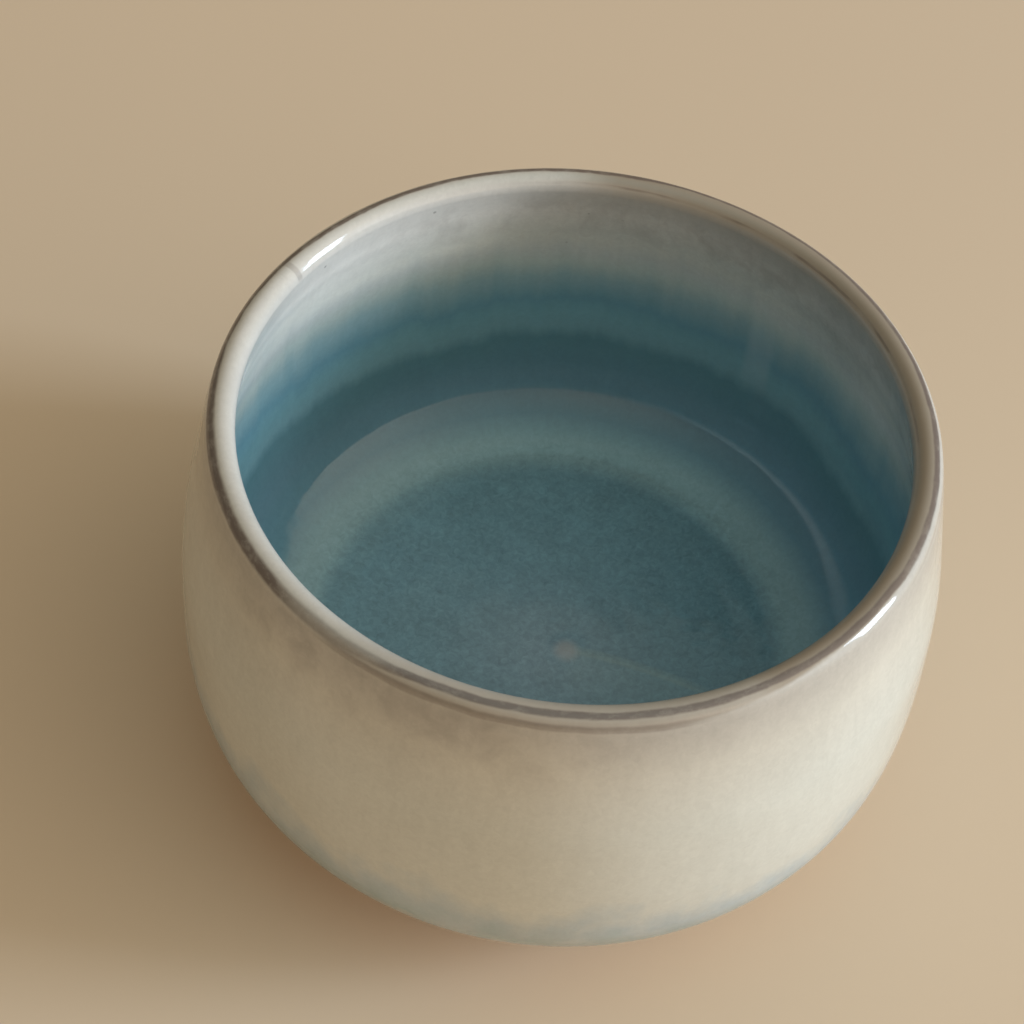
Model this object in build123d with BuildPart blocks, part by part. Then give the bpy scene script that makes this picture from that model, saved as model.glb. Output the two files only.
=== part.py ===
from build123d import *

import os
from math import cos, radians, sin

# A matcha bowl: a thrown stoneware body on a luted foot ring, under five coats of glaze.
#
# Every piece is turned about Z, and Z = 0 is the table that the bowl stands on. The glazed
# surface, the skin, is drawn first, as an outside edge, a lip arc and an inside edge that run
# from the foot over the lip to the axis. The clay under it is the skin moved in by the glaze's
# thickness. All sketches lie in the XZ plane, so a point is (radius, height). Millimetres.

# Driving dimensions of the glazed bowl.
BOWL_HEIGHT = 75.0
BELLY_DIAMETER = 120.0
BELLY_HEIGHT = 31.0
LIP_DIAMETER = 108.6
LIP_RADIUS = 2.2  # the round of the lip
FLOOR_HEIGHT = 11.8  # the floor at the axis, above the table

# The wall's lean beside the lip, in degrees from upright.
OUTSIDE_LEAN = 12.0
INSIDE_LEAN = 13.0

# Glaze thicknesses. The glaze runs as it melts, so each coat thickens from the lip down.
LIP_COAT = 0.35
FOOT_COAT = 0.7  # at the coat's free edge, above the foot
FLOOR_COAT = 1.3  # at the axis, where it pools
GLAZE_EDGE_ROUND = 0.3

# Where one coat ends and the next begins.
GLAZE_EDGE_RADIUS = 31.0  # the clay is bare from here in to the foot ring
HEM_TOP = 32.0  # top of the pale blue hem, outside
BLUE_TOP = 50.0  # top of the blue coat, inside

# The foot ring.
FOOT_DIAMETER = 55.0
FOOT_HEIGHT = 5.6
FOOT_WIDTH = 4.8
FOOT_LEAN = 0.7  # how far each side of the ring leans in on its way to the table
FOOT_ROUND = 0.7  # rounding on each side of the resting face

CLAY_STATIONS = 24  # the points, less one, that carry a clay edge along its skin

lip_centre = Vector(LIP_DIAMETER / 2 - LIP_RADIUS, BOWL_HEIGHT - LIP_RADIUS)
belly_radius = BELLY_DIAMETER / 2
base_radius = FOOT_DIAMETER / 2 + 1.2
foot_outside = FOOT_DIAMETER / 2
foot_inside = foot_outside - FOOT_WIDTH


def on_lip(radius, angle):
    """The point of the lip at an angle in degrees, from 0 outside to 180 inside."""
    return lip_centre + Vector(radius * cos(radians(angle)), radius * sin(radians(angle)))


def clay_under(skin, first_coat, last_coat):
    """The clay's edge under a skin edge, on its left, with the coat's thickness at each end."""
    points = []
    for station in range(CLAY_STATIONS + 1):
        share = station / CLAY_STATIONS
        coat = first_coat + (last_coat - first_coat) * share
        inward = (skin % share).rotate(Axis.Z, 90)
        points.append(skin @ share + inward * coat)
    with BuildLine() as clay:
        Spline(*points, tangents=[skin % 0, skin % 1])
    return clay.edge()


def coat_outline(skin, clay):
    """The closed outline of the glaze between a skin edge and the clay under it."""
    add(skin)
    add(clay)
    Line(skin @ 0, clay @ 0)
    if (skin @ 1 - clay @ 1).length > 0:
        Line(skin @ 1, clay @ 1)


# The skin, from the foot up the outside, over the lip, and down the inside to the axis.
with BuildLine() as outside_line:
    Spline(
        (GLAZE_EDGE_RADIUS, 5.6),
        (46.0, 9.1),
        (55.4, 15.0),
        (59.3, 23.5),
        (belly_radius, BELLY_HEIGHT),
        (59.7, 40.0),
        (58.95, 49.5),
        (57.3, 59.0),
        on_lip(LIP_RADIUS, OUTSIDE_LEAN),
        tangents=[(1, 0.14), (-sin(radians(OUTSIDE_LEAN)), cos(radians(OUTSIDE_LEAN)))],
    )
with BuildLine() as inside_line:
    Spline(
        on_lip(LIP_RADIUS, 180 + INSIDE_LEAN),
        (51.6, 65.5),
        (54.0, 56.0),
        (55.3, 41.0),
        (54.7, 28.8),
        (52.6, 22.4),
        (47.5, 18.2),
        (41.0, 15.6),
        (28.0, 13.2),
        (0, FLOOR_HEIGHT),
        tangents=[(sin(radians(INSIDE_LEAN)), -cos(radians(INSIDE_LEAN))), (-1, 0)],
    )
with BuildLine() as lip_line:
    CenterArc(lip_centre, LIP_RADIUS, OUTSIDE_LEAN, 180 + INSIDE_LEAN - OUTSIDE_LEAN)
with BuildLine() as lip_core_line:
    CenterArc(lip_centre, LIP_RADIUS - LIP_COAT, OUTSIDE_LEAN, 180 + INSIDE_LEAN - OUTSIDE_LEAN)

outside_skin = outside_line.edge()
inside_skin = inside_line.edge()
lip_skin = lip_line.edge()
lip_core = lip_core_line.edge()
outside_clay = clay_under(outside_skin, FOOT_COAT, LIP_COAT)
inside_clay = clay_under(inside_skin, LIP_COAT, FLOOR_COAT)

# The thrown body: floor, wall and the core of the lip.
with BuildPart() as clay_body:
    with BuildSketch(Plane.XZ):
        with BuildLine():
            Polyline(inside_clay @ 1, (0, FOOT_HEIGHT), (base_radius, FOOT_HEIGHT), outside_clay @ 0)
            add(outside_clay)
            add(lip_core)
            add(inside_clay)
        make_face()
    revolve(axis=Axis.Z)

# The unglazed foot ring, luted to the body's underside.
with BuildPart() as foot_ring:
    with BuildSketch(Plane.XZ) as ring_section:
        with BuildLine():
            Polyline(
                (foot_inside, FOOT_HEIGHT),
                (foot_inside + FOOT_LEAN, 0),
                (foot_outside - FOOT_LEAN, 0),
                (foot_outside, FOOT_HEIGHT),
                close=True,
            )
        make_face()
        fillet(ring_section.vertices().group_by(Axis.Y)[0], FOOT_ROUND)
    revolve(axis=Axis.Z)

# The pale blue hem, where the outside glaze has run thick above the foot.
with BuildPart() as foot_hem_glaze:
    with BuildSketch(Plane.XZ) as hem_section:
        with BuildLine():
            coat_outline(outside_skin, outside_clay)
        make_face()
        fillet(hem_section.vertices().sort_by(Axis.Y)[0], GLAZE_EDGE_ROUND)
    revolve(axis=Axis.Z)
    split(bisect_by=Plane.XY.offset(HEM_TOP), keep=Keep.BOTTOM)

# The white coat on the outside, from the hem to the lip.
with BuildPart() as outer_white_glaze:
    with BuildSketch(Plane.XZ):
        with BuildLine():
            coat_outline(outside_skin, outside_clay)
        make_face()
    revolve(axis=Axis.Z)
    split(bisect_by=Plane.XY.offset(HEM_TOP), keep=Keep.TOP)

# The thin iron-stained coat over the lip.
with BuildPart() as lip_glaze:
    with BuildSketch(Plane.XZ):
        with BuildLine():
            coat_outline(lip_skin, lip_core)
        make_face()
    revolve(axis=Axis.Z)

# The white coat on the inside, from the lip to the blue.
with BuildPart() as inner_white_glaze:
    with BuildSketch(Plane.XZ):
        with BuildLine():
            coat_outline(inside_skin, inside_clay)
        make_face()
    revolve(axis=Axis.Z)
    split(bisect_by=Plane.XY.offset(BLUE_TOP), keep=Keep.TOP)

# The blue coat, down the wall and over the floor.
with BuildPart() as inner_blue_glaze:
    with BuildSketch(Plane.XZ):
        with BuildLine():
            coat_outline(inside_skin, inside_clay)
        make_face()
    revolve(axis=Axis.Z)
    split(bisect_by=Plane.XY.offset(BLUE_TOP), keep=Keep.BOTTOM)

os.makedirs("parts", exist_ok=True)
clay_body.part.label = "clay_body"
export_step(clay_body.part, "parts/clay_body.step")
foot_ring.part.label = "foot_ring"
export_step(foot_ring.part, "parts/foot_ring.step")
foot_hem_glaze.part.label = "foot_hem_glaze"
export_step(foot_hem_glaze.part, "parts/foot_hem_glaze.step")
outer_white_glaze.part.label = "outer_white_glaze"
export_step(outer_white_glaze.part, "parts/outer_white_glaze.step")
lip_glaze.part.label = "lip_glaze"
export_step(lip_glaze.part, "parts/lip_glaze.step")
inner_white_glaze.part.label = "inner_white_glaze"
export_step(inner_white_glaze.part, "parts/inner_white_glaze.step")
inner_blue_glaze.part.label = "inner_blue_glaze"
export_step(inner_blue_glaze.part, "parts/inner_blue_glaze.step")
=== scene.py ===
"""The looks of a matcha bowl: its clay, foot ring and five coats of glaze, with light and a camera.

Every piece is turned about Z from the outline of its own CAD node, with the unevenness that a
potter's hands leave. Lengths are metres, except where a name or a comment says millimetres.
"""

import math

import bpy
import numpy as np
from mathutils import Matrix, Vector

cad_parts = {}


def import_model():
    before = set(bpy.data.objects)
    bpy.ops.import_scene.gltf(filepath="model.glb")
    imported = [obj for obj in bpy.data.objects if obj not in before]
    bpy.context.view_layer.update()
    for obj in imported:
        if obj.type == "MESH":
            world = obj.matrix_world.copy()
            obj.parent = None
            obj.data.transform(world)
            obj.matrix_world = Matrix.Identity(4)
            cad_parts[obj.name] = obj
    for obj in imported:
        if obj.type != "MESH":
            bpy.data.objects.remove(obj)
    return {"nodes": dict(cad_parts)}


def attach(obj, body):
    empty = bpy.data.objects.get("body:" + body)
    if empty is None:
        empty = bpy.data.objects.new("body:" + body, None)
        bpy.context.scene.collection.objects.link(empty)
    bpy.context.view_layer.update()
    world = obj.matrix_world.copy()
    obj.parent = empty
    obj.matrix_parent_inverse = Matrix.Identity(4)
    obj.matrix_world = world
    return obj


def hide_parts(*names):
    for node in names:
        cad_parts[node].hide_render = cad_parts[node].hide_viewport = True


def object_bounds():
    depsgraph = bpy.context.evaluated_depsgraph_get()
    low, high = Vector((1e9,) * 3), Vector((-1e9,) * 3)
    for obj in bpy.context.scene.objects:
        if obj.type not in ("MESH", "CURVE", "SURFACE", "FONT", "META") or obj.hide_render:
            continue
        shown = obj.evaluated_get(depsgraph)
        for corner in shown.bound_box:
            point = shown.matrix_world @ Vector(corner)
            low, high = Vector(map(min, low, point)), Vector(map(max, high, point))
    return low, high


MM = 0.001

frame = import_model()
cad_low, cad_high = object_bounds()

# Mesh density.
COLUMNS = 384  # round the axis
SKIN_STEP = 0.5 * MM  # between rows on a surface that shows
LIP_STEP = 0.16 * MM
HIDDEN_STEP = 2.0 * MM  # between rows where clay and glaze meet
CORNER = math.radians(40)  # a sharper turn than this is a corner of an outline
POLE = 0.15 * MM  # radius of the last row round the axis

# The camera, at the photograph's viewing angle.
CAMERA_AT = Vector((0.0, -0.2019, 0.3029))
CAMERA_HEADING = math.radians(-2.404)
CAMERA_DIP = math.radians(51.406)
CAMERA_ROLL = math.radians(-5.893)
CAMERA_LENS_MM = 72.76

# How far the wall strays from round and level, at the lip, as (waves round the bowl, size, phase).
LIP_SWAY = ((1, 0.35 * MM, math.pi), (2, 0.12 * MM, 0.6), (3, 0.07 * MM, 2.0))
LIP_LIFT = ((2, 0.12 * MM, 1.2), (3, 0.08 * MM, 0.3), (5, 0.03 * MM, 2.2))

# Where on the floor the thrower's finger left the clay, in millimetres.
NUB = (3.1, 1.7, 12.0)


# ---- Outlines, read from the CAD nodes ----

def turning(path):
    """How sharply a path turns at each of its inner points, in radians."""
    steps = np.diff(path, axis=0)
    heading = np.unwrap(np.arctan2(steps[:, 1], steps[:, 0]))
    return np.abs(np.diff(heading))


def outline(node):
    """The node's section at +X, as an ordered array of (radius, height) from a corner on."""
    mesh = frame["nodes"][node].data
    spots = {}
    links = {}
    for vertex in mesh.vertices:
        x, y, z = vertex.co
        if abs(y) < 1e-7 and x > -1e-7:
            spots[vertex.index] = (round(x, 7), round(z, 7))
    for edge in mesh.edges:
        first, last = (spots.get(index) for index in edge.vertices)
        if first is None or last is None or first == last:
            continue
        links.setdefault(first, set()).add(last)
        links.setdefault(last, set()).add(first)
    ends = sorted(spot for spot, beside in links.items() if len(beside) == 1)
    path = [ends[0] if ends else min(links)]
    while True:
        onward = [spot for spot in sorted(links[path[-1]]) if spot not in path]
        if not onward:
            break
        path.append(onward[0])
    path = np.array(path)
    if ends:
        return path
    turns = turning(np.vstack([path[-1], path, path[0]]))
    path = np.roll(path, -int(np.argmax(turns)), axis=0)
    return np.vstack([path, path[0]])


def sides(path):
    """An outline cut at its corners, as a list of smooth stretches."""
    corners = np.nonzero(turning(path) > CORNER)[0] + 1
    stops = [0, *corners, len(path) - 1]
    return [path[a:b + 1] for a, b in zip(stops[:-1], stops[1:])]


class SmoothLine:
    """A smooth curve through points, read by the distance along it."""

    def __init__(self, points):
        self.points = np.array(points)
        steps = np.linalg.norm(np.diff(self.points, axis=0), axis=1)
        self.at = np.concatenate([[0.0], np.cumsum(steps)])
        self.length = self.at[-1]
        order = 2 if len(self.points) > 2 else 1
        self.slope = np.gradient(self.points, self.at, axis=0, edge_order=order)

    def __call__(self, where):
        where = np.clip(where, 0, self.length)
        low = np.clip(np.searchsorted(self.at, where, side="right") - 1, 0, len(self.at) - 2)
        span = (self.at[low + 1] - self.at[low])[..., None]
        share = (where - self.at[low])[..., None] / span
        return (
            (1 + 2 * share) * (1 - share) ** 2 * self.points[low]
            + share * (1 - share) ** 2 * span * self.slope[low]
            + share ** 2 * (3 - 2 * share) * self.points[low + 1]
            + share ** 2 * (share - 1) * span * self.slope[low + 1]
        )


def evenly(start, stop, step):
    """Values from start to stop, both included, no further apart than a step."""
    return np.linspace(start, stop, max(1, math.ceil(abs(stop - start) / step)) + 1)


def from_end_near(path, spot):
    """The path, turned round if need be, so that it starts at its end nearer to a spot."""
    gaps = np.linalg.norm(path[[0, -1]] - spot, axis=1)
    return path if gaps[0] < gaps[1] else path[::-1]


# The coats in order, from the foot over the lip to the axis.
COATS = ("foot_hem_glaze", "outer_white_glaze", "lip_glaze", "inner_white_glaze", "inner_blue_glaze")

clay_line = SmoothLine(outline("clay_body"))
clay_spots = clay_line(evenly(0, clay_line.length, 0.1 * MM))


def depth_over_clay(path):
    """How far a path lies from the clay's outline, on average."""
    line = SmoothLine(path)
    samples = line(np.linspace(0.1, 0.9, 9) * line.length)
    gaps = np.linalg.norm(samples[:, None, :] - clay_spots[None, :, :], axis=2)
    return gaps.min(axis=1).mean()


# The glazed skin as one line from the foot to the axis, and the stretch of it that each coat has.
skin_points = []
skin_stretch = {}
clay_sides = {}
for node in COATS:
    long_sides = sorted(sides(outline(node)), key=lambda path: SmoothLine(path).length)[-2:]
    clay_side, skin_side = sorted(long_sides, key=depth_over_clay)
    skin_side = from_end_near(skin_side, skin_points[-1] if skin_points else (0, 0))
    clay_sides[node] = SmoothLine(from_end_near(clay_side, skin_side[-1]))
    first = max(len(skin_points) - 1, 0)
    skin_points += list(skin_side[1:] if skin_points else skin_side)
    skin_stretch[node] = (first, len(skin_points) - 1)
skin = SmoothLine(skin_points)
crest = skin.at[int(np.argmax(skin.points[:, 1]))]


# ---- The bowl's unevenness ----

def ease(low, high, value):
    """0 below low, 1 above high, and smooth between."""
    share = np.clip((value - low) / (high - low), 0, 1)
    return share * share * (3 - 2 * share)


def ridge(value, middle, width):
    """A rounded ridge of height 1."""
    return np.exp(-((value - middle) / width) ** 2)


def waves(parts, azimuth):
    """The sum of some waves round the bowl, each given as (waves, size, phase)."""
    return sum(size * np.cos(count * azimuth - phase) for count, size, phase in parts)


def sway(spots, azimuth):
    """The 3-D places of (radius, height) spots on the bowl, which leans and bulges a little."""
    radius, height = spots[..., 0], spots[..., 1]
    rise = ease(0.0, 1.0, height / cad_high.z)
    lean = rise * np.minimum(radius / (40 * MM), 1) * waves(LIP_SWAY, azimuth)
    lift = rise ** 3 * waves(LIP_LIFT, azimuth)
    radius = radius + lean
    return np.stack([radius * np.cos(azimuth), radius * np.sin(azimuth), height + lift], axis=-1)


def relief(where, azimuth):
    """How far the finished glaze stands proud of the smooth skin.

    A drop is a distance over the skin from the lip's crest in millimetres, down the inside as
    positive and down the outside as negative. The material reads the same numbers.
    """
    drop = (where - crest) / MM
    throwing = 0.018 * np.sin(2 * math.pi * drop / 5.6 - azimuth + 0.4 * np.sin(2 * azimuth))
    throwing += 0.030 * np.sin(2 * math.pi * drop / 12.5 + azimuth + 1.3)
    inside = ease(6, 14, drop) * (1 - 0.6 * ease(66, 84, drop)) * throwing
    band = 0.16 * ridge(drop, 37.5 + 0.8 * np.sin(azimuth + 0.5), 4.0) * ease(8, 20, drop)
    turning_marks = 0.002 * np.sin(2 * math.pi * drop / 4.7 - azimuth + 0.3 * np.sin(3 * azimuth))
    turning_marks += 0.024 * np.sin(2 * math.pi * drop / 15 + azimuth)
    outside = ease(-5, -12, drop) * turning_marks
    groove = -0.03 * ridge(drop, -3.6, 0.5)
    groove -= 0.03 * ridge(drop, 2.2, 0.22) * (0.5 + 0.5 * np.cos(azimuth - 0.8))
    radius = skin(where)[..., 0] / MM
    off_nub = np.hypot(radius * np.cos(azimuth) - NUB[0], radius * np.sin(azimuth) - NUB[1])
    nub = 0.30 * ridge(off_nub, 0, 2.4) * ease(80, 90, drop)
    return (inside + band + outside + groove + nub) * MM


def glaze_surface(where, azimuth):
    """Points of the finished glaze, by distance along the skin and direction from the axis."""
    step = 0.02 * MM
    along = skin(where + step) - skin(where - step)
    along = along / np.linalg.norm(along, axis=-1, keepdims=True)
    out = np.stack([along[..., 1], -along[..., 0]], axis=-1)
    return sway(skin(where) + out * relief(where, azimuth)[..., None], azimuth)


def glaze_normals(where, azimuth):
    """Unit normals of the finished glaze."""
    step, turn = 0.05 * MM, 0.002
    where = np.clip(where, 2 * step, skin.length - 2 * step)
    along = glaze_surface(where + step, azimuth) - glaze_surface(where - step, azimuth)
    around = glaze_surface(where, azimuth + turn) - glaze_surface(where, azimuth - turn)
    normal = np.cross(around, along)
    return normal / np.maximum(np.linalg.norm(normal, axis=-1, keepdims=True), 1e-12)


# ---- Meshes ----

angles = np.arange(COLUMNS) * (2 * math.pi / COLUMNS)


def ring(spot):
    """One row of points round the axis, from a (radius, height) spot."""
    return sway(np.tile(np.array(spot, float), (COLUMNS, 1)), angles)


def creep(gap):
    """How far the glaze's free edge drew up from the foot as it melted, fading out up the wall.

    The gap is the distance up from the edge, one value for each row.
    """
    edge = 0.9 + waves(((3, 0.35, 0.4), (5, 0.30, 2.0), (8, 0.20, 1.1), (13, 0.10, 0.2)), angles)
    return ease(9, 0, gap / MM)[:, None] * edge * MM


def signed_volume(mesh):
    mesh.calc_loop_triangles()
    corners = np.zeros(len(mesh.loop_triangles) * 3, np.int32)
    mesh.loop_triangles.foreach_get("vertices", corners)
    places = np.zeros(len(mesh.vertices) * 3)
    mesh.vertices.foreach_get("co", places)
    a, b, c = (places.reshape(-1, 3)[corners.reshape(-1, 3)[:, k]] for k in range(3))
    return float(np.einsum("ij,ij->i", a, np.cross(b, c)).sum())


def lathe(name, rows, poles=()):
    """A closed mesh object that rides on the bowl, from rows of points round the axis.

    With no poles its last row joins its first. With two, a point on the axis closes each end.
    """
    rows = np.array(rows)
    index = np.arange(rows.shape[0] * COLUMNS).reshape(-1, COLUMNS)
    beside = np.roll(index, -1, axis=1)
    low, low_beside = (index, beside) if not poles else (index[:-1], beside[:-1])
    high, high_beside = np.roll(index, -1, axis=0), np.roll(beside, -1, axis=0)
    high, high_beside = high[:len(low)], high_beside[:len(low)]
    faces = np.stack([low, low_beside, high_beside, high], axis=-1).reshape(-1, 4).tolist()
    points = rows.reshape(-1, 3)
    if poles:
        first_pole = len(points)
        faces += [(first_pole, int(b), int(a)) for a, b in zip(index[0], beside[0])]
        faces += [(first_pole + 1, int(a), int(b)) for a, b in zip(index[-1], beside[-1])]
        points = np.vstack([points, np.array(poles)])
    mesh = bpy.data.meshes.new(name)
    mesh.from_pydata(points.tolist(), [], faces)
    mesh.update()
    if signed_volume(mesh) < 0:
        mesh.flip_normals()
    mesh.shade_smooth()
    mesh.set_sharp_from_angle(angle=CORNER)
    piece = bpy.data.objects.new(name, mesh)
    bpy.context.scene.collection.objects.link(piece)
    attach(piece, "root")
    return piece


def glaze_coat(node):
    """One coat of glaze: the skin that shows, and its other side down on the clay."""
    start, stop = (skin.at[index] for index in skin_stretch[node])
    clay = clay_sides[node]
    to_axis = skin(stop)[0] < POLE
    trim = POLE if to_axis else 0.0
    where = evenly(start, stop - trim, LIP_STEP if node == "lip_glaze" else SKIN_STEP)
    under_where = evenly(trim, clay.length, HIDDEN_STEP)
    if np.linalg.norm(clay(np.array(clay.length)) - skin(np.array(start))) < 1e-5:
        under_where = under_where[:-1]
    shown_places = np.tile(where[:, None], COLUMNS)
    under_places = np.tile(under_where[:, None], COLUMNS)
    if node == COATS[0]:
        shown_places += creep(where - start)
        under_places -= creep(clay.length - under_where)
    shown = glaze_surface(shown_places, angles)
    under = sway(clay(under_places), angles)
    hidden = np.tile(np.linspace(stop, start, len(under))[:, None], COLUMNS)
    if to_axis:
        poles = ((0, 0, clay(np.array(0.0))[1]), (0, 0, skin(np.array(stop))[1]))
        piece = lathe(node + "_coat", np.concatenate([under, shown]), poles)
        shade_coat(piece.data, np.concatenate([hidden, shown_places]), len(hidden), len(where))
    else:
        piece = lathe(node + "_coat", np.concatenate([shown, under]))
        shade_coat(piece.data, np.concatenate([shown_places, hidden]), 0, len(where))
    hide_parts(node)
    return piece


def shade_coat(mesh, where, first_shown, shown):
    """Exact normals for the rows that show, and drop_mm: each point's distance from the crest.

    A coat that reaches the axis has two more points than its rows, and the last of them shows.
    """
    drops = np.full(len(mesh.vertices), (skin.length - crest) / MM)
    drops[:where.size] = (where.ravel() - crest) / MM
    drop = mesh.attributes.new("drop_mm", "FLOAT", "POINT")
    drop.data.foreach_set("value", drops)

    shows = np.zeros(len(mesh.vertices), bool)
    normals = np.zeros((len(mesh.vertices), 3))
    low, high = first_shown * COLUMNS, (first_shown + shown) * COLUMNS
    shows[low:high] = True
    normals[low:high] = glaze_normals(where[first_shown:first_shown + shown], angles).reshape(-1, 3)
    if len(mesh.vertices) > where.size:
        shows[-1] = True
        normals[-1] = (0, 0, 1)
    corner_points = np.zeros(len(mesh.loops), np.int32)
    mesh.loops.foreach_get("vertex_index", corner_points)
    starts = np.zeros(len(mesh.polygons), np.int32)
    mesh.polygons.foreach_get("loop_start", starts)
    face_shows = np.logical_and.reduceat(shows[corner_points], starts)
    sizes = np.diff(np.append(starts, len(corner_points)))
    corner_shows = np.repeat(face_shows, sizes)
    corner_normals = np.where(corner_shows[:, None], normals[corner_points], 0.0)
    mesh.normals_split_custom_set(corner_normals.tolist())


def clay_body():
    """The thrown body, with a turned spiral and a low nub on its base inside the foot ring."""
    line = clay_line
    where = evenly(POLE, line.length, HIDDEN_STEP)
    top, base = line(np.array(0.0)), line(np.array(line.length))
    rows = [ring(line(w)) for w in where]
    for radius in evenly(base[0], POLE, SKIN_STEP)[1:]:
        spiral = 0.05 * np.sin(2 * math.pi * radius / MM / 3.4 - angles) * ease(0, 4, radius / MM)
        nub = -0.5 * ridge(radius / MM, 0, 3.0)
        recess = ease(24, 22, radius / MM)
        row = ring((radius, base[1]))
        row[:, 2] += (spiral + nub) * recess * MM
        rows.append(row)
    poles = ((0, 0, top[1]), (0, 0, rows[-1][:, 2].mean()))
    piece = lathe("clay_body_thrown", rows, poles)
    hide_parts("clay_body")
    return piece


def foot_ring():
    """The foot ring, with the turning tool's marks on its sides and a flat resting face."""
    rows = []
    for stretch in sides(outline("foot_ring")):
        side = SmoothLine(stretch)
        for w in evenly(0, side.length, 0.35 * MM)[:-1]:
            row = ring(side(w))
            height = side(w)[1] / MM
            on_side = ease(1.0, 1.8, height) * ease(5.4, 4.8, height)
            marks = 0.05 * np.sin(2 * math.pi * height / 1.7 - angles) * on_side * MM
            row[:, :2] *= 1 + marks[:, None] / side(w)[0]
            row[:, 2] = np.maximum(row[:, 2], 0)
            rows.append(row)
    piece = lathe("foot_ring_turned", rows)
    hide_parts("foot_ring")
    return piece


# ---- Materials ----

class Nodes:
    """A material's node tree, with short ways to add to it."""

    def __init__(self, name):
        self.material = bpy.data.materials.new(name)
        self.material.use_nodes = True
        self.tree = self.material.node_tree
        self.shader = self.tree.nodes["Principled BSDF"]

    def add(self, kind, inputs=(), **settings):
        node = self.tree.nodes.new(kind)
        for name, value in settings.items():
            setattr(node, name, value)
        for slot, value in dict(inputs).items():
            self.join(value, node.inputs[slot])
        return node

    def join(self, value, socket):
        if isinstance(value, bpy.types.NodeSocket):
            self.tree.links.new(value, socket)
        elif value is not None:
            socket.default_value = value

    def math(self, operation, a, b=None, c=None):
        return self.add("ShaderNodeMath", {0: a, 1: b, 2: c}, operation=operation).outputs[0]

    def scaled(self, vector, factors):
        node = self.add("ShaderNodeVectorMath", {0: vector, 1: factors}, operation="MULTIPLY")
        return node.outputs[0]

    def noise(self, vector, scale, detail=3.0, roughness=0.5, distortion=0.0):
        inputs = {"Vector": vector, "Scale": scale, "Detail": detail, "Roughness": roughness}
        inputs["Distortion"] = distortion
        return self.add("ShaderNodeTexNoise", inputs).outputs["Fac"]

    def fade(self, value, low, high, to_low=0.0, to_high=1.0):
        """A smooth change from to_low at low to to_high at high."""
        inputs = {"Value": value, 1: low, 2: high, 3: to_low, 4: to_high}
        node = self.add("ShaderNodeMapRange", inputs, interpolation_type="SMOOTHSTEP")
        return node.outputs[0]

    def mix(self, share, a, b):
        """Colour a where the share is 0, colour b where it is 1."""
        node = self.add("ShaderNodeMix", data_type="RGBA")
        for slot, value in ((0, share), (6, a), (7, b)):
            self.join(value, node.inputs[slot])
        return node.outputs[2]

    def ramp(self, value, stops, low, high):
        """A colour for a value, from (value, colour) stops between low and high."""
        node = self.add("ShaderNodeValToRGB", {0: self.fraction(value, low, high)})
        elements = node.color_ramp.elements
        while len(elements) > 1:
            elements.remove(elements[-1])
        for place, (at, colour) in enumerate(stops):
            element = elements[0] if place == 0 else elements.new((at - low) / (high - low))
            element.position = (at - low) / (high - low)
            element.color = colour
        return node.outputs[0]

    def fraction(self, value, low, high):
        """How far a value is from low to high, as 0 to 1."""
        return self.add("ShaderNodeMapRange", {"Value": value, 1: low, 2: high}).outputs[0]

    def total(self, *values):
        """Values added together."""
        whole = values[0]
        for value in values[1:]:
            whole = self.math("ADD", whole, value)
        return whole

    def product(self, *values):
        """Values multiplied together: for shares, 1 only where all of them are."""
        whole = values[0]
        for value in values[1:]:
            whole = self.math("MULTIPLY", whole, value)
        return whole

    def centred(self, noise, size):
        """A noise moved to run from -size to size about 0."""
        return self.math("MULTIPLY_ADD", noise, 2 * size, -size)

    def band(self, value, middle, half_width):
        """1 in a band about a middle value, and 0 away from it."""
        gap = self.math("ABSOLUTE", self.math("SUBTRACT", value, middle))
        return self.fade(self.math("DIVIDE", gap, half_width), 1.35, 0.55)

    def shaded(self, colour, shade):
        """A colour made lighter or darker by a factor."""
        inputs = {0: colour, "Scale": shade}
        return self.add("ShaderNodeVectorMath", inputs, operation="SCALE").outputs[0]

    def specks(self, place, scale, edge, chosen):
        """Small round dots, one in the middle of each chosen cell of a random pattern.

        Edge is where a dot fades in, as distances from its middle, and chosen is where a cell's
        own random number, from 0 to 1, starts to give it a dot.
        """
        cells = self.add("ShaderNodeTexVoronoi", {"Vector": place, "Scale": scale, "Randomness": 1.0})
        dot = self.fade(cells.outputs["Distance"], *edge)
        number = self.add("ShaderNodeSeparateColor", {0: cells.outputs["Color"]}).outputs[0]
        return self.product(dot, self.fade(number, *chosen))


def linear(*srgb):
    """A colour given as three values from 0 to 255, as the four that the shader wants."""
    return (*(((v / 255 + 0.055) / 1.055) ** 2.4 for v in srgb), 1.0)


# The glaze's colours, by distance over the skin from the lip's crest in millimetres.
GLAZE_COLOURS = (
    (-90, (210, 208, 196)),
    (-64, (210, 208, 196)),
    (-55, (160, 185, 190)),
    (-48, (185, 200, 205)),
    (-40, (214, 218, 210)),
    (-24, (214, 218, 210)),
    (-12, (210, 210, 200)),
    (-4, (190, 188, 180)),
    (3, (200, 200, 195)),
    (9, (235, 235, 230)),
    (16, (235, 240, 235)),
    (20, (215, 225, 225)),
    (24, (190, 210, 210)),
    (28, (150, 185, 195)),
    (34, (110, 160, 180)),
    (38, (125, 175, 190)),
    (41.5, (125, 170, 185)),
    (44.5, (100, 145, 160)),
    (53, (110, 150, 170)),
    (60, (105, 150, 170)),
    (65, (140, 175, 185)),
    (68.5, (135, 170, 180)),
    (71.5, (105, 145, 160)),
    (90, (115, 150, 165)),
    (108, (135, 160, 175)),
)
# The dark colour below is also used for painted shade in the lip's incised line.
DARK_GLAZE_AND_SHADE = linear(110, 100, 95)  # where the lip's glaze has run thin over iron
# Khaki for the lip's film, which is partly painted shade.
KHAKI_GLAZE_AND_SHADE = linear(150, 140, 125)
SMUDGE = linear(150, 145, 140)


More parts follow.
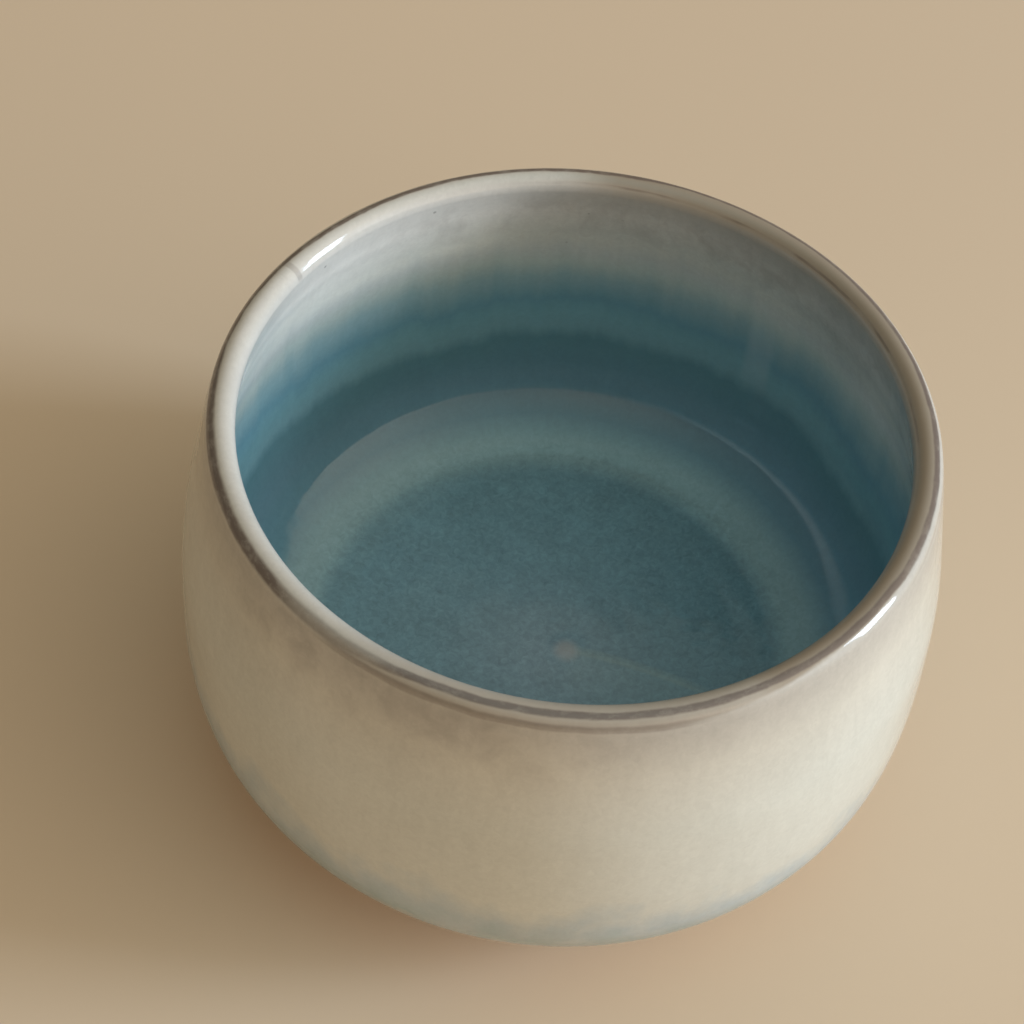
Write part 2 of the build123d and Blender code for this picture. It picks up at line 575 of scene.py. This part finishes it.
class GlazeNodes(Nodes):
    """Nodes that know where on the bowl they are."""

    def __init__(self, name):
        super().__init__(name)
        place = self.add("ShaderNodeTexCoord").outputs["Object"]
        self.place_mm = self.scaled(place, (1000, 1000, 1000))
        self.drop = self.add("ShaderNodeAttribute", attribute_name="drop_mm").outputs["Fac"]
        flat = self.scaled(place, (1, 1, 0))
        self.heading = self.add("ShaderNodeVectorMath", {0: flat}, operation="NORMALIZE").outputs[0]

    def towards(self, degrees):
        """How far the direction from the axis is towards a heading, from -1 to 1."""
        angle = math.radians(degrees)
        inputs = {0: self.heading, 1: (math.cos(angle), math.sin(angle), 0)}
        return self.add("ShaderNodeVectorMath", inputs, operation="DOT_PRODUCT").outputs["Value"]

    def streaks(self, across, along):
        """A place to read noise from, for streaks that run down the wall."""
        down = self.add("ShaderNodeCombineXYZ", {"Z": self.math("MULTIPLY", self.drop, along)}).outputs[0]
        around = self.scaled(self.heading, (across, across, 0))
        return self.add("ShaderNodeVectorMath", {0: around, 1: down}, operation="ADD").outputs[0]


def run_colour(g):
    """The coats' colours, whose edges wander round the bowl and break into fine streaks."""
    drop = g.drop
    wander = g.total(
        g.centred(g.noise(g.streaks(1.6, 0.02), 1.0, detail=2), 5.0),
        g.centred(g.noise(g.streaks(13, 0.03), 1.0, detail=3), 2.4),
        g.product(g.towards(105), -2.0),
    )
    inside = g.product(g.fade(drop, 8, 20), g.fade(drop, 66, 44))
    hem_blobs = g.centred(g.noise(g.streaks(7, 0.10), 1.0, detail=3, roughness=0.6), 9.0)
    hem_shift = g.total(hem_blobs, g.product(g.towards(330), 3.0))
    hem = g.product(g.fade(drop, -28, -44), g.fade(drop, -74, -60))
    moved = g.total(drop, g.product(wander, inside), g.product(hem_shift, hem))
    stops = [(at, linear(*colour)) for at, colour in GLAZE_COLOURS]
    return g.ramp(moved, stops, -90, 110)


def clouding_and_painted_light(g):
    """How light the glaze is: cloudy all over, mottled over the floor, and with painted light and shade
    round the wall.
    """
    drop = g.drop
    clouds = g.total(
        g.centred(g.noise(g.place_mm, 0.045, detail=3), 0.10),
        g.centred(g.noise(g.streaks(30, 0.10), 1.0, detail=3, roughness=0.6), 0.05),
    )
    fibres = g.noise(g.place_mm, 0.95, detail=5, roughness=0.65, distortion=0.8)
    pools = g.noise(g.place_mm, 0.16, detail=3)
    floor_clouds = g.total(g.centred(fibres, 0.46), g.centred(pools, 0.16))
    floor_mottle = g.product(floor_clouds, g.fade(drop, 58, 74))
    wall_mottle = g.product(g.centred(fibres, 0.12), g.fade(drop, 74, 58))

    # Painted light and shade: paler towards heading 150, where the window lights the inside, and darker
    # towards 330; inside, lighter towards 155 and darker towards 70, where the rim shades the wall.
    painted_light_side = g.product(g.towards(150), 0.05, g.fade(drop, 24, 14))
    inner_painted_light_and_shade = g.total(g.product(g.towards(155), 0.09), g.fade(g.towards(70), 0.70, 0.88, 0.0, -0.2))
    inner_painted_light_and_shade = g.product(inner_painted_light_and_shade, g.fade(drop, 1, 5), g.fade(drop, 26, 16))
    return g.total(1.0, clouds, floor_mottle, wall_mottle, painted_light_side, inner_painted_light_and_shade)


def lip_iron_and_shade(g, colour):
    """Iron that shows through the thin glaze of the lip, with painted shade.

    It is a khaki film over the lip's round, partly painted shade where the lip is turned from the window,
    a dark line just outside the crest, a greyer line in the groove under that, and painted shade in
    blotches along the incised line inside the lip.
    """
    drop, towards = g.drop, g.towards
    at_lip = g.total(drop, g.centred(g.noise(g.streaks(9, 0.4), 1.0, detail=3, roughness=0.6), 0.3))
    broken = g.fade(g.noise(g.streaks(24, 0.9), 1.0, detail=4, roughness=0.7), 0.32, 0.56, 0.75, 1.0)

    # Painted shade: the khaki film is strongest on the right of the bowl and at the near front, where the
    # lip's round is turned from the window.
    right = g.math("MAXIMUM", g.fade(towards(18), 0.12, 0.35), g.fade(towards(290), 0.5, 0.9, 0.0, 0.6))
    khaki_and_shade_top = g.total(at_lip, g.fade(towards(265), 0.6, 0.93, 1.0, 2.5))
    khaki_film_and_shade = g.product(g.fade(khaki_and_shade_top, -0.4, 0.3), g.fade(at_lip, 5.0, 1.0), right, 0.85)
    colour = g.mix(khaki_film_and_shade, colour, KHAKI_GLAZE_AND_SHADE)

    on_left = g.fade(towards(200), 0.5, 0.95, -0.4, -1.5)
    on_right = g.fade(towards(28), 0.5, 0.7, 0.0, -0.45)
    half_width = g.fade(towards(212), 0.75, 0.97, 0.54, 0.9)
    line = g.band(at_lip, g.total(on_left, on_right), half_width)
    gap = g.fade(towards(237), 0.997, 0.975, 0.5, 1.0)
    colour = g.mix(g.product(line, broken, gap, 0.9), colour, DARK_GLAZE_AND_SHADE)

    groove = g.product(g.band(at_lip, -2.45, 0.6), g.fade(towards(264), 0.82, 0.94), broken, 0.45)
    colour = g.mix(groove, colour, DARK_GLAZE_AND_SHADE)

    # Painted shade: dark blotches in the incised line inside the lip, towards heading 50, where the lip
    # is turned from the window.
    groove_shade_blots = g.fade(g.noise(g.streaks(5, 0.5), 1.0, detail=3), 0.46, 0.60)
    groove_shade = g.product(g.band(drop, 2.1, 0.22), g.fade(towards(50), 0.5, 0.9), 0.5, groove_shade_blots)
    nick = g.product(g.fade(drop, -0.8, 0.2), g.fade(drop, 4, 2.8), 0.3)
    nick = g.product(g.fade(towards(155), 0.99991, 0.99998), nick)
    return g.mix(g.total(groove_shade, nick), colour, DARK_GLAZE_AND_SHADE)


def smudges(g, colour):
    """Soft grey smudges where the glaze was handled near the lip, on both sides of the wall."""
    drop = g.drop
    slant = g.add("ShaderNodeVectorRotate", {"Vector": g.streaks(9, 0.15), "Angle": 0.5}).outputs[0]
    blots = g.fade(g.noise(slant, 1.0, detail=5, roughness=0.62, distortion=0.5), 0.40, 0.72)
    near_share = g.fade(g.towards(250), 0.72, 0.97, 0.0, 0.32)
    near_lip = g.product(g.fade(drop, -20, -5), g.fade(drop, -2.0, -3.5), near_share)
    whole_lip = g.product(g.fade(drop, -13, -4), g.fade(drop, -2.5, -4), 0.12)
    inner_share = g.fade(g.towards(50), -0.2, 0.9, 0.08, 0.34)
    inner_lip = g.product(g.fade(drop, 3, 8), g.fade(drop, 19, 11), inner_share)
    return g.mix(g.product(g.total(near_lip, whole_lip, inner_lip), blots), colour, SMUDGE)


def making_marks(g, colour):
    """A wiped streak down the wall, and the knot and the line that the thrower's finger left."""
    drop = g.drop
    streak = g.product(g.fade(drop, 22, 29), g.fade(drop, 45, 36), 0.22)
    streak = g.product(g.fade(g.towards(58), 0.9982, 0.9997), streak)
    colour = g.mix(streak, colour, linear(190, 215, 225))

    x, y, _ = g.add("ShaderNodeSeparateXYZ", {0: g.place_mm}).outputs
    on_floor = g.fade(drop, 74, 84)
    off_line = g.math("SUBTRACT", y, g.math("MULTIPLY_ADD", g.product(x, x), -0.0078, 2.2))
    line_ends = g.product(on_floor, g.fade(x, 2, 6), g.fade(x, 34, 22))
    near_side = g.product(line_ends, g.fade(off_line, 0.3, -0.3), g.fade(off_line, -14, -2), 0.10)
    colour = g.mix(near_side, colour, linear(190, 208, 205))
    line = g.product(line_ends, g.band(off_line, 0.0, 0.9), 0.12)
    colour = g.mix(line, colour, linear(190, 205, 190))

    from_nub = g.add("ShaderNodeVectorMath", {0: g.place_mm, 1: NUB}, operation="DISTANCE")
    knot = g.product(on_floor, g.fade(from_nub.outputs["Value"], 3.0, 0.8), 0.42)
    return g.mix(knot, colour, linear(205, 190, 188))


def iron_specks(g, colour):
    """Small iron specks, mostly high on the inside."""
    high = g.product(g.fade(g.drop, 24, 12, 0.05, 0.55), g.fade(g.drop, 3, 6, 0.1, 1.0))
    specks = g.specks(g.place_mm, 0.33, edge=(0.13, 0.06), chosen=(0.86, 0.90))
    return g.mix(g.product(specks, high), colour, linear(88, 86, 82))


def glaze_material():
    g = GlazeNodes("glaze")
    colour = g.shaded(run_colour(g), clouding_and_painted_light(g))
    for marks in (lip_iron_and_shade, smudges, making_marks, iron_specks):
        colour = marks(g, colour)
    g.join(colour, g.shader.inputs["Base Color"])
    g.join(g.fade(g.noise(g.place_mm, 0.3, detail=2), 0.3, 0.7, 0.06, 0.11), g.shader.inputs["Roughness"])
    ripple = g.noise(g.place_mm, 0.22, detail=2)
    bump = g.add("ShaderNodeBump", {"Height": ripple, "Strength": 0.25, "Distance": 0.0002})
    g.join(bump.outputs[0], g.shader.inputs["Normal"])
    return g.material


def clay_material():
    """Bare stoneware: warm buff, stained and gritty, with dark specks."""
    g = Nodes("clay")
    place = g.add("ShaderNodeTexCoord").outputs["Object"]
    place_mm = g.scaled(place, (1000, 1000, 1000))
    grain = g.noise(place_mm, 1.9, detail=5, roughness=0.7)
    stain = g.noise(place_mm, 0.09, detail=3)
    colour = g.mix(g.fade(stain, 0.35, 0.65), linear(196, 172, 142), linear(176, 148, 116))
    colour = g.shaded(colour, g.math("MULTIPLY_ADD", grain, 0.30, 0.85))
    specks = g.product(g.specks(place_mm, 0.45, edge=(0.16, 0.08), chosen=(0.70, 0.75)), 0.7)
    colour = g.mix(specks, colour, linear(92, 66, 48))
    g.join(colour, g.shader.inputs["Base Color"])
    g.join(g.fade(grain, 0.3, 0.7, 0.78, 0.92), g.shader.inputs["Roughness"])
    bump = g.add("ShaderNodeBump", {"Height": grain, "Strength": 0.6, "Distance": 0.0003})
    g.join(bump.outputs[0], g.shader.inputs["Normal"])
    return g.material


# ---- The bowl ----

glaze = glaze_material()
clay = clay_material()
coat_slots = ("pale_blue_glaze", "white_glaze", "iron_glaze", "inner_white_glaze", "blue_glaze")
for node, slot in zip(COATS, coat_slots):
    glaze_coat(node).data.materials.append(glaze)
clay_body().data.materials.append(clay)
foot_ring().data.materials.append(clay)


# ---- Floor, light and camera ----

FLOOR_SIZE = 30.0


def floor():
    mesh = bpy.data.meshes.new("floor")
    h = FLOOR_SIZE / 2
    mesh.from_pydata([(-h, -h, 0), (h, -h, 0), (h, h, 0), (-h, h, 0)], [], [(0, 1, 2, 3)])
    piece = bpy.data.objects.new("floor", mesh)
    bpy.context.scene.collection.objects.link(piece)
    g = Nodes("floor_paper")
    g.shader.inputs["Base Color"].default_value = linear(220, 200, 175)
    g.shader.inputs["Roughness"].default_value = 0.95
    mesh.materials.append(g.material)


def camera():
    heading, dip, roll = CAMERA_HEADING, CAMERA_DIP, CAMERA_ROLL
    ahead = Vector((math.sin(heading) * math.cos(dip), math.cos(heading) * math.cos(dip), -math.sin(dip)))
    level = Vector((math.cos(heading), -math.sin(heading), 0))
    down = ahead.cross(level)
    right = level * math.cos(roll) + down * math.sin(roll)
    up = level * math.sin(roll) - down * math.cos(roll)
    data = bpy.data.cameras.new("camera")
    data.lens = CAMERA_LENS_MM
    data.sensor_width = 36.0
    data.clip_start = 0.01
    piece = bpy.data.objects.new("camera", data)
    piece.matrix_world = Matrix.Translation(CAMERA_AT) @ Matrix((right, up, -ahead)).transposed().to_4x4()
    bpy.context.scene.collection.objects.link(piece)
    bpy.context.scene.camera = piece


# The sky round the bowl as soft lobes over a dim even base: heading, rise, sharpness and colour.
SKY = (
    (0, 40, 7, (1.44, 1.22, 0.92)),
    (-20, 12, 24, (1.25, 1.3, 1.4)),
    (-45, 12, 24, (1.55, 1.1, 0.75)),
    (270, 40, 7, (0.56, 0.38, 0.23)),
    (90, 40, 7, (0.25, 0.13, 0.04)),
    (0, 90, 6, (0.17, 0.52, 0.55)),
    (0, 90, 2, (0.13, 0.03, 0.0)),
)
SKY_BASE = (0.08, 0.06, 0.045)


def aim(heading, rise):
    """The unit vector towards a heading and a rise, in degrees."""
    a, e = math.radians(heading), math.radians(rise)
    return Vector((math.cos(a) * math.cos(e), math.sin(a) * math.cos(e), math.sin(e)))


def area_light(name, heading, rise, distance, width, height, power, colour):
    """A soft rectangular light that faces the bowl from a heading and a rise, in degrees."""
    light = bpy.data.lights.new(name, "AREA")
    light.shape = "RECTANGLE"
    light.size, light.size_y = width, height
    light.energy = power
    light.color = colour
    lamp = bpy.data.objects.new(name, light)
    bpy.context.scene.collection.objects.link(lamp)
    away = aim(heading, rise)
    lamp.location = away * distance + Vector((0, 0, cad_high.z))
    lamp.rotation_euler = (-away).to_track_quat("-Z", "Y").to_euler()


def world():
    sky = bpy.data.worlds.new("studio")
    sky.use_nodes = True
    nodes, links = sky.node_tree.nodes, sky.node_tree.links
    direction = nodes.new("ShaderNodeTexCoord").outputs["Generated"]
    light = None
    for heading, rise, sharpness, colour in SKY:
        along = nodes.new("ShaderNodeVectorMath")
        along.operation = "DOT_PRODUCT"
        along.inputs[1].default_value = aim(heading, rise)
        links.new(direction, along.inputs[0])
        ahead = nodes.new("ShaderNodeMath")
        ahead.operation = "MAXIMUM"
        ahead.inputs[1].default_value = 0.0
        links.new(along.outputs["Value"], ahead.inputs[0])
        lobe = nodes.new("ShaderNodeMath")
        lobe.operation = "POWER"
        lobe.inputs[1].default_value = sharpness
        links.new(ahead.outputs[0], lobe.inputs[0])
        added = nodes.new("ShaderNodeVectorMath")
        added.operation = "MULTIPLY_ADD"
        links.new(lobe.outputs[0], added.inputs[0])
        added.inputs[1].default_value = colour
        added.inputs[2].default_value = SKY_BASE
        if light:
            links.new(light, added.inputs[2])
        light = added.outputs[0]
    links.new(light, nodes["Background"].inputs["Color"])
    bpy.context.scene.world = sky


floor()
area_light("window", 2, 16, 1.5, 0.32, 0.75, 15.5, (0.85, 1.02, 1.22))
world()
camera()
bpy.context.scene.view_settings.view_transform = "Standard"
